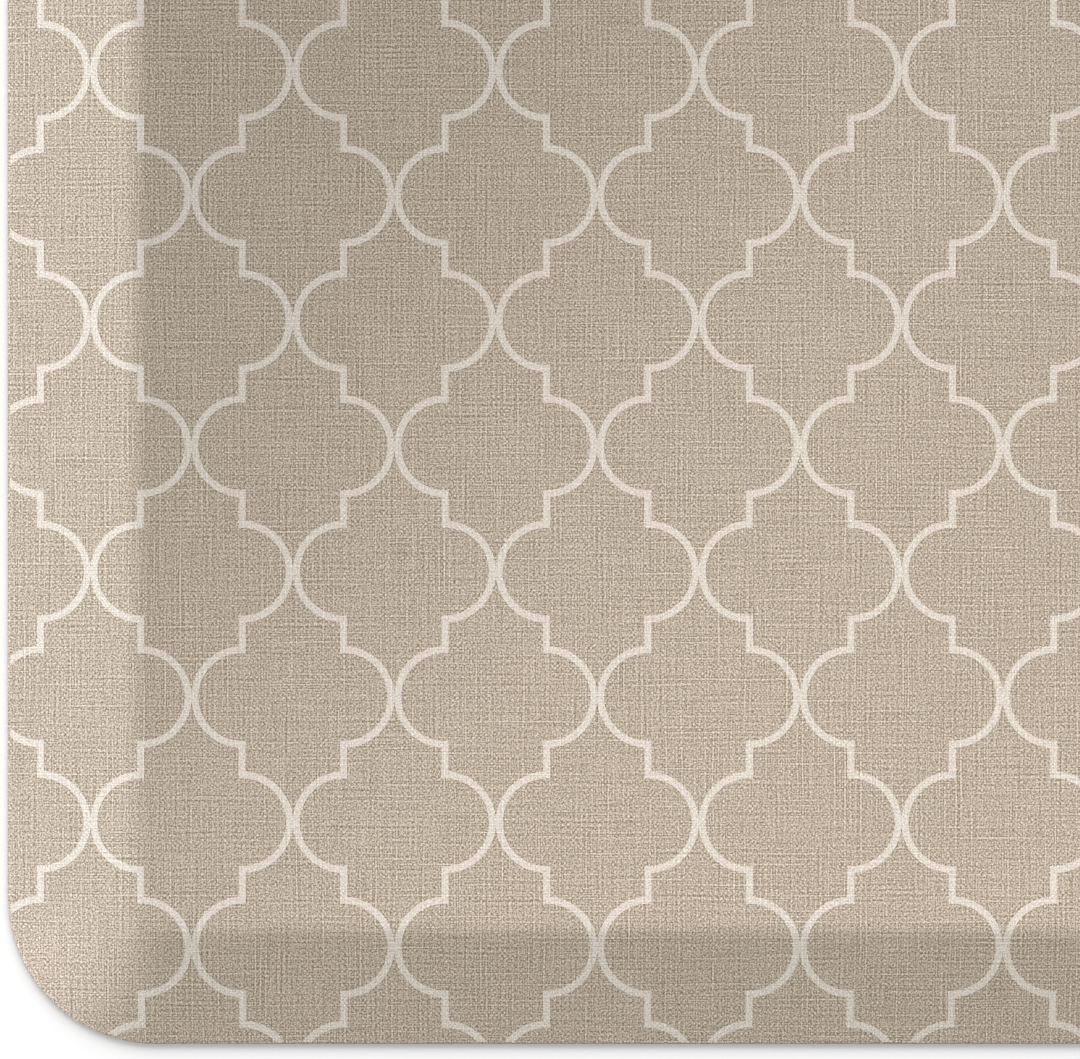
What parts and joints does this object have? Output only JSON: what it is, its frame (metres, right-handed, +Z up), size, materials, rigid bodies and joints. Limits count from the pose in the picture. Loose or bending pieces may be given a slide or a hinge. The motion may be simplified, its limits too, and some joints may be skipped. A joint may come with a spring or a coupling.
{
  "type": "anti-fatigue mat",
  "caption": "Rectangular cushioned standing mat with rounded corners, bevelled edges and a linen-look skin printed with a cream trellis lattice.",
  "frame": {"origin": "centre of the footprint at floor level", "axes": "+X along the long side, +Y from the front edge to the back edge, +Z up through the thickness"},
  "size_m": [0.914, 0.61, 0.019],
  "materials": {
    "lattice_ink": "cream printed ink, faint linen grain",
    "linen_skin": "beige linen-look skin, fine crosshatch weave",
    "scrim": "off-white knitted scrim",
    "adhesive": "dried hot-melt film",
    "soft_foam": "soft open-cell foam",
    "firm_foam": "firm closed-cell foam",
    "bond_strip": "heat-bonded strip",
    "base_rubber": "matt moulded rubber",
    "dot_rubber": "soft grippy rubber"
  },
  "bodies": {
    "root": {"lattice_print": "lattice_ink", "linen_cover": "linen_skin", "cover_backing": "scrim", "upper_adhesive_film": "adhesive", "comfort_foam": "soft_foam", "core_adhesive_film": "adhesive", "support_foam": "firm_foam", "lower_adhesive_film": "adhesive", "edge_bond_strip": "bond_strip", "base_sheet": "base_rubber", "grip_dots": "dot_rubber"}
  },
  "joints": []
}
